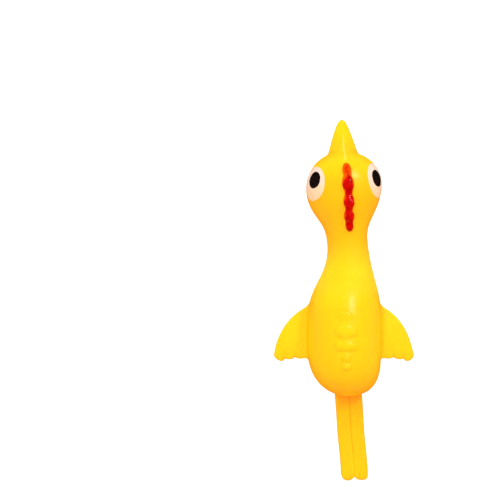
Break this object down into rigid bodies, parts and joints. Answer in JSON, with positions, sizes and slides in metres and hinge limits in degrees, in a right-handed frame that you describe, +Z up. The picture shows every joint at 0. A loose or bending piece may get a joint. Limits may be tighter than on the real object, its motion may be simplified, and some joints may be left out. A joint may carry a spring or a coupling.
{
  "type": "rubber chicken",
  "caption": "Soft rubber sling chicken with a finger pocket under the head, a bending neck, flapping wings and legs that swing and stretch.",
  "frame": {"origin": "under the middle of the toy, on the surface it lies on", "axes": "+Y forward towards the beak, +X to the right seen from above with the beak away from the viewer, +Z up towards the comb; the toy lies on its belly"},
  "size_m": [0.0386, 0.1011, 0.0257],
  "materials": {
    "yellow_rubber": "soft, slightly clear yellow rubber with a satin gloss",
    "red_paint": "rubber under glossy red paint that thins to orange at its edges",
    "white_paint": "rubber under thin warm white paint",
    "black_paint": "rubber under black paint"
  },
  "bodies": {
    "torso": {"torso": "yellow_rubber", "tail_feathers": "yellow_rubber"},
    "neck": {"neck": "yellow_rubber"},
    "head": {"head": "yellow_rubber", "beak": "yellow_rubber", "comb": "red_paint", "eye_white_left": "white_paint", "eye_white_right": "white_paint", "pupil_left": "black_paint", "pupil_right": "black_paint"},
    "wing_left": {"wing_left": "yellow_rubber"},
    "wing_right": {"wing_right": "yellow_rubber"},
    "leg_left": {"shank_left": "yellow_rubber"},
    "leg_right": {"shank_right": "yellow_rubber"},
    "foot_left": {"foot_left": "yellow_rubber"},
    "foot_right": {"foot_right": "yellow_rubber"}
  },
  "joints": [
    {"name": "neck_turn", "type": "hinge", "parent": "torso", "child": "neck", "pos_m": [0, 0.0099, 0.0121], "axis": [0, 0, 1], "range_deg": [-30, 30], "stiffness_Nm_per_rad": 0.03},
    {"name": "head_nod", "type": "hinge", "parent": "neck", "child": "head", "pos_m": [0, 0.0174, 0.012], "axis": [1, 0, 0], "range_deg": [-30, 30], "stiffness_Nm_per_rad": 0.03},
    {"name": "wing_left_flap", "type": "hinge", "parent": "torso", "child": "wing_left", "pos_m": [-0.01015, -0.00795, 0.0108], "axis": [0, 1, 0], "range_deg": [-25, 40], "stiffness_Nm_per_rad": 0.002},
    {"name": "wing_right_flap", "type": "hinge", "parent": "torso", "child": "wing_right", "pos_m": [0.01015, -0.00795, 0.0108], "axis": [0, -1, 0], "range_deg": [-25, 40], "stiffness_Nm_per_rad": 0.002},
    {"name": "leg_left_swing", "type": "hinge", "parent": "torso", "child": "leg_left", "pos_m": [-0.00198, -0.0265, 0.008], "axis": [-1, 0, 0], "range_deg": [-25, 50], "stiffness_Nm_per_rad": 0.003},
    {"name": "leg_left_stretch", "type": "slide", "parent": "leg_left", "child": "foot_left", "axis": [0, -0.9703, -0.2419], "range_m": [0, 0.024], "stiffness_N_per_m": 20, "deforming": ["shank_left"]},
    {"name": "leg_right_swing", "type": "hinge", "parent": "torso", "child": "leg_right", "pos_m": [0.00198, -0.0265, 0.008], "axis": [-1, 0, 0], "range_deg": [-25, 50], "stiffness_Nm_per_rad": 0.003},
    {"name": "leg_right_stretch", "type": "slide", "parent": "leg_right", "child": "foot_right", "axis": [0, -0.9703, -0.2419], "range_m": [0, 0.024], "stiffness_N_per_m": 20, "deforming": ["shank_right"]}
  ]
}
